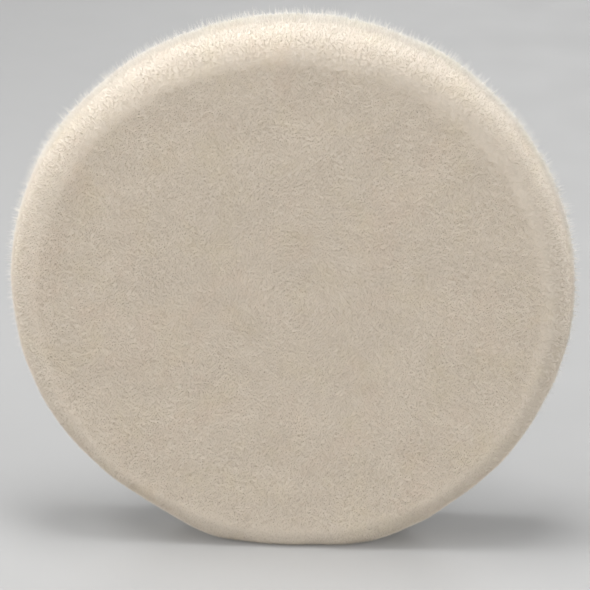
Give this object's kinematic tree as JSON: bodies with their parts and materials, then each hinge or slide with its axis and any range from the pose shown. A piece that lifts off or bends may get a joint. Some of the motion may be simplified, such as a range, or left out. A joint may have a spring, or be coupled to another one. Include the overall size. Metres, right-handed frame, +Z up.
{
  "type": "polishing pad",
  "caption": "Round polishing pad: short sheared wool pile splayed over its rim, foam interface and hook-and-loop backing, standing on its edge.",
  "frame": {"origin": "centre of the loop backing's rear face, on the pad's axis", "axes": "+Y out of the loop face, towards the polisher; the wool face looks towards -Y; +Z up, away from the flat that the pad stands on"},
  "size_m": [0.15, 0.024, 0.147],
  "materials": {
    "wool_face": "dense short wool pile sheared flat, matt, with a fine mottled grain",
    "wool_edge": "the same wool splayed outward, paler, with loose fibre ends",
    "ground_knit": "fine undyed knit",
    "hot_melt_film": "thin cloudy hot-melt adhesive",
    "foam": "fine open-cell grey foam",
    "loop_cloth": "tight white woven backing",
    "loop_nap": "brushed white nylon loops"
  },
  "bodies": {
    "root": {"pile_face": "wool_face", "pile_edge": "wool_edge", "ground_cloth": "ground_knit", "front_film": "hot_melt_film", "foam_disc": "foam", "rear_film": "hot_melt_film", "loop_cloth": "loop_cloth", "loop_nap": "loop_nap"}
  },
  "joints": []
}
